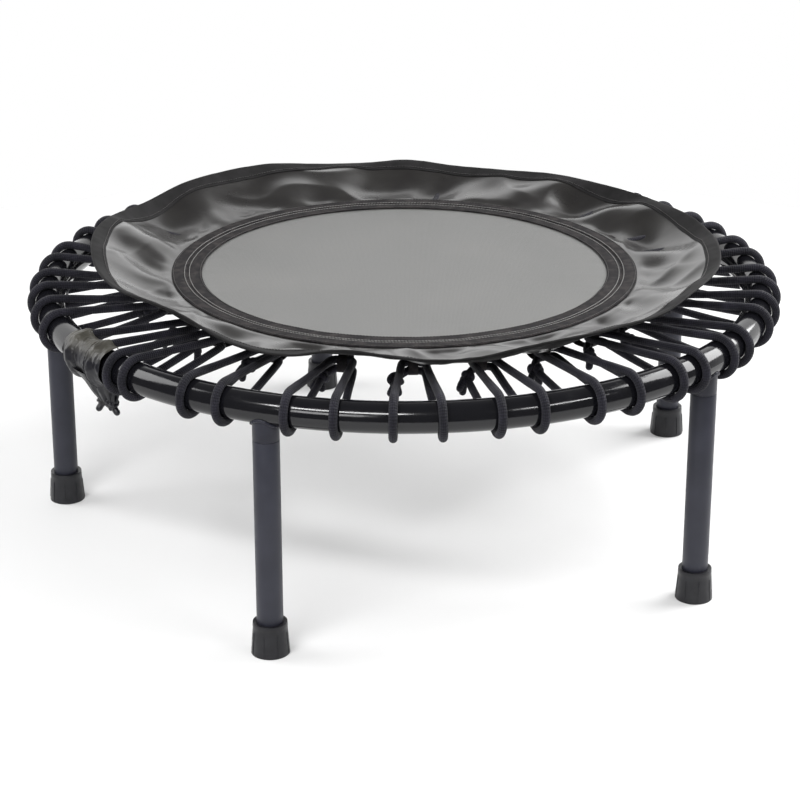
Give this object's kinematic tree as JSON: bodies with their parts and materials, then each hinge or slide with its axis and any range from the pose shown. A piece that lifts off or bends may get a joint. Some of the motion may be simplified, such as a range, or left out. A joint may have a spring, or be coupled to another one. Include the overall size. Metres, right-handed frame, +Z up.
{
  "type": "mini trampoline",
  "caption": "Low round rebounder: a taut mat hung by elastic cords inside a tubular steel ring on straight screw-in legs with rubber feet.",
  "frame": {"origin": "on the floor under the middle of the ring, between the feet", "axes": "+Z up, square to the mat; -Y is the front, the side that the picture is taken from"},
  "size_m": [1.0104, 1.01, 0.3796],
  "materials": {
    "frame_black": "gloss black enamel on steel tube",
    "leg_grey": "dark grey powder coat, semi-matt",
    "zinc": "zinc-plated steel",
    "foot_rubber": "matt black moulded rubber",
    "mat_cloth": "grey woven polypropylene with a low sheen",
    "webbing": "dark brown-grey webbing, stitched",
    "skirt_vinyl": "glossy dark grey vinyl sheet",
    "tape": "matt black woven binding tape",
    "cord": "black braided elastic cord",
    "sleeve_film": "dark, slightly see-through film"
  },
  "bodies": {
    "frame": {"frame_ring": "frame_black", "leg_socket_1": "frame_black", "leg_socket_2": "frame_black", "leg_socket_3": "frame_black", "leg_socket_4": "frame_black", "leg_socket_5": "frame_black", "elastic_cord_01": "cord", "elastic_cord_02": "cord", "elastic_cord_03": "cord", "elastic_cord_04": "cord", "elastic_cord_05": "cord", "elastic_cord_06": "cord", "elastic_cord_07": "cord", "elastic_cord_08": "cord", "elastic_cord_09": "cord", "elastic_cord_10": "cord", "elastic_cord_11": "cord", "elastic_cord_12": "cord", "elastic_cord_13": "cord", "elastic_cord_14": "cord", "elastic_cord_15": "cord", "elastic_cord_16": "cord", "elastic_cord_17": "cord", "elastic_cord_18": "cord", "elastic_cord_19": "cord", "elastic_cord_20": "cord", "elastic_cord_21": "cord", "elastic_cord_22": "cord", "elastic_cord_23": "cord", "elastic_cord_24": "cord", "elastic_cord_25": "cord", "frame_sleeve": "sleeve_film", "sleeve_tie": "cord"},
    "mat": {"jump_mat": "mat_cloth", "mat_webbing": "webbing", "cord_webbing": "webbing", "skirt": "skirt_vinyl", "skirt_binding": "tape"},
    "leg_1": {"leg_tube_1": "leg_grey", "leg_stud_1": "zinc", "leg_foot_1": "foot_rubber", "foot_washer_1": "zinc"},
    "leg_2": {"leg_tube_2": "leg_grey", "leg_stud_2": "zinc", "leg_foot_2": "foot_rubber", "foot_washer_2": "zinc"},
    "leg_3": {"leg_tube_3": "leg_grey", "leg_stud_3": "zinc", "leg_foot_3": "foot_rubber", "foot_washer_3": "zinc"},
    "leg_4": {"leg_tube_4": "leg_grey", "leg_stud_4": "zinc", "leg_foot_4": "foot_rubber", "foot_washer_4": "zinc"},
    "leg_5": {"leg_tube_5": "leg_grey", "leg_stud_5": "zinc", "leg_foot_5": "foot_rubber", "foot_washer_5": "zinc"}
  },
  "joints": [
    {"name": "mat_bounce", "type": "slide", "parent": "frame", "child": "mat", "axis": [0, 0, -1], "range_m": [0, 0.12], "stiffness_N_per_m": 8000, "springref_m": -0.01, "deforming": ["elastic_cord_01", "elastic_cord_02", "elastic_cord_03", "elastic_cord_04", "elastic_cord_05", "elastic_cord_06", "elastic_cord_07", "elastic_cord_08", "elastic_cord_09", "elastic_cord_10", "elastic_cord_11", "elastic_cord_12", "elastic_cord_13", "elastic_cord_14", "elastic_cord_15", "elastic_cord_16", "elastic_cord_17", "elastic_cord_18", "elastic_cord_19", "elastic_cord_20", "elastic_cord_21", "elastic_cord_22", "elastic_cord_23", "elastic_cord_24", "elastic_cord_25"]},
    {"name": "leg_1_unscrew", "type": "slide", "parent": "frame", "child": "leg_1", "axis": [0, 0, -1], "range_m": [0, 0.036]},
    {"name": "leg_2_unscrew", "type": "slide", "parent": "frame", "child": "leg_2", "axis": [0, 0, -1], "range_m": [0, 0.036]},
    {"name": "leg_3_unscrew", "type": "slide", "parent": "frame", "child": "leg_3", "axis": [0, 0, -1], "range_m": [0, 0.036]},
    {"name": "leg_4_unscrew", "type": "slide", "parent": "frame", "child": "leg_4", "axis": [0, 0, -1], "range_m": [0, 0.036]},
    {"name": "leg_5_unscrew", "type": "slide", "parent": "frame", "child": "leg_5", "axis": [0, 0, -1], "range_m": [0, 0.036]}
  ]
}
